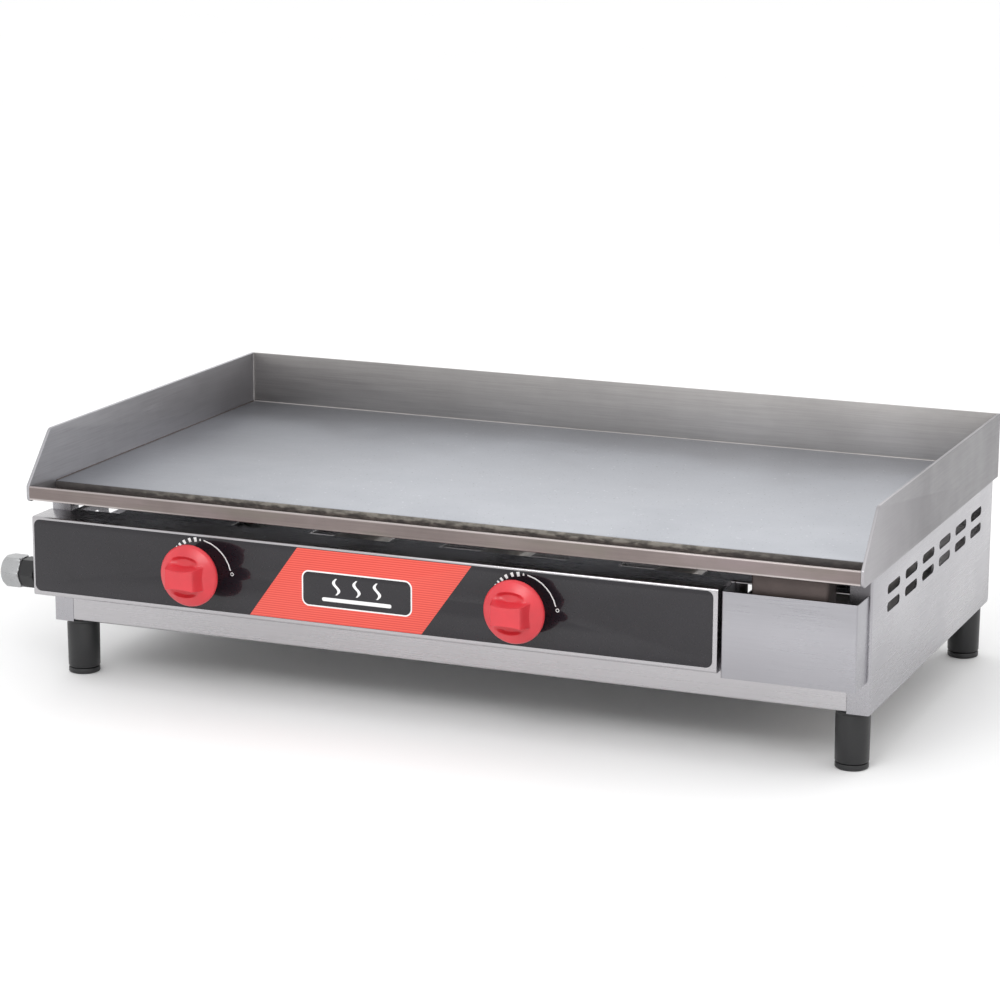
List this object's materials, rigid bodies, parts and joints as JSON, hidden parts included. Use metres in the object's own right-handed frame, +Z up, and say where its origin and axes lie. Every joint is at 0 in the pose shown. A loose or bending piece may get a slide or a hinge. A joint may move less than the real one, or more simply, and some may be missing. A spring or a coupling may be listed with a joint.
{
  "type": "flat top griddle",
  "caption": "Counter-top gas griddle: flat steel plate with three-sided splash guard and grease gutter, control box with knobs, grease drawer and levelling feet.",
  "frame": {"origin": "bottom centre of the whole object's bounding box, on the surface the feet stand on", "axes": "+Z up, +X along the width towards the grease drawer, -Y towards the cook, out of the knobs"},
  "size_m": [0.836, 0.505, 0.237],
  "materials": {
    "plate_steel": "ground mild steel cooking plate",
    "splash_steel": "brushed steel sheet",
    "gutter_steel": "raw hot-rolled steel",
    "body_steel": "satin stainless sheet",
    "inner_steel": "galvanised sheet",
    "front_film": "glossy printed film",
    "pipe_black": "black steel gas pipe",
    "zinc": "zinc-plated steel",
    "brass": "turned brass",
    "knob_red": "satin red moulded plastic",
    "burner_steel": "stainless burner tube",
    "foot_black": "black moulded plastic"
  },
  "bodies": {
    "frame": {"back_splash": "splash_steel", "burner_left": "burner_steel", "burner_rest_back": "inner_steel", "burner_rest_front": "inner_steel", "burner_right": "burner_steel", "control_box": "body_steel", "control_label": "front_film", "corner_gussets": "inner_steel", "drawer_partition": "inner_steel", "drawer_runner_left": "inner_steel", "drawer_runner_right": "inner_steel", "drip_chute": "gutter_steel", "foot_back_left": "foot_black", "foot_back_right": "foot_black", "foot_front_left": "foot_black", "foot_front_right": "foot_black", "foot_nuts": "zinc", "front_panel": "body_steel", "grease_gutter": "gutter_steel", "griddle_plate": "plate_steel", "heat_shield": "inner_steel", "injector_left": "brass", "injector_right": "brass", "inlet_coupling": "pipe_black", "inlet_nut": "zinc", "left_side_panel": "body_steel", "left_splash": "splash_steel", "manifold_clips": "inner_steel", "manifold_pipe": "pipe_black", "manifold_plug": "pipe_black", "panel_screws": "zinc", "plate_nuts": "zinc", "plate_studs": "zinc", "rear_panel": "body_steel", "right_side_panel": "body_steel", "right_splash": "splash_steel", "valve_body_left": "brass", "valve_body_right": "brass", "valve_bonnet_left": "brass", "valve_bonnet_right": "brass"},
    "drawer": {"drawer_front": "body_steel", "grease_tray": "inner_steel"},
    "plug_left": {"valve_plug_left": "brass", "stem_spring_left": "zinc"},
    "knob_left": {"valve_stem_left": "brass", "knob_left": "knob_red"},
    "shutter_left": {"air_shutter_left": "burner_steel"},
    "plug_right": {"valve_plug_right": "brass", "stem_spring_right": "zinc"},
    "knob_right": {"valve_stem_right": "brass", "knob_right": "knob_red"},
    "shutter_right": {"air_shutter_right": "burner_steel"},
    "pad_front_left": {"foot_pad_front_left": "foot_black"},
    "pad_front_right": {"foot_pad_front_right": "foot_black"},
    "pad_back_left": {"foot_pad_back_left": "foot_black"},
    "pad_back_right": {"foot_pad_back_right": "foot_black"}
  },
  "joints": [
    {"name": "drawer_slide", "type": "slide", "parent": "frame", "child": "drawer", "axis": [0, -1, 0], "range_m": [0, 0.3]},
    {"name": "valve_turn_left", "type": "hinge", "parent": "frame", "child": "plug_left", "pos_m": [-0.204, -0.1865, 0.1275], "axis": [0, -1, 0], "range_deg": [0, 150]},
    {"name": "knob_push_left", "type": "slide", "parent": "plug_left", "child": "knob_left", "axis": [0, 1, 0], "range_m": [0, 0.003], "stiffness_N_per_m": 1500, "springref_m": -0.002, "deforming": ["stem_spring_left"]},
    {"name": "air_shutter_turn_left", "type": "hinge", "parent": "frame", "child": "shutter_left", "pos_m": [-0.204, -0.1565, 0.1275], "axis": [0, 1, 0], "range_deg": [0, 60]},
    {"name": "valve_turn_right", "type": "hinge", "parent": "frame", "child": "plug_right", "pos_m": [0.112, -0.1865, 0.1275], "axis": [0, -1, 0], "range_deg": [0, 150]},
    {"name": "knob_push_right", "type": "slide", "parent": "plug_right", "child": "knob_right", "axis": [0, 1, 0], "range_m": [0, 0.003], "stiffness_N_per_m": 1500, "springref_m": -0.002, "deforming": ["stem_spring_right"]},
    {"name": "air_shutter_turn_right", "type": "hinge", "parent": "frame", "child": "shutter_right", "pos_m": [0.112, -0.1565, 0.1275], "axis": [0, 1, 0], "range_deg": [0, 60]},
    {"name": "foot_level_front_left", "type": "slide", "parent": "frame", "child": "pad_front_left", "axis": [0, 0, -1], "range_m": [0, 0.01]},
    {"name": "foot_level_front_right", "type": "slide", "parent": "frame", "child": "pad_front_right", "axis": [0, 0, -1], "range_m": [0, 0.01]},
    {"name": "foot_level_back_left", "type": "slide", "parent": "frame", "child": "pad_back_left", "axis": [0, 0, -1], "range_m": [0, 0.01]},
    {"name": "foot_level_back_right", "type": "slide", "parent": "frame", "child": "pad_back_right", "axis": [0, 0, -1], "range_m": [0, 0.01]}
  ]
}
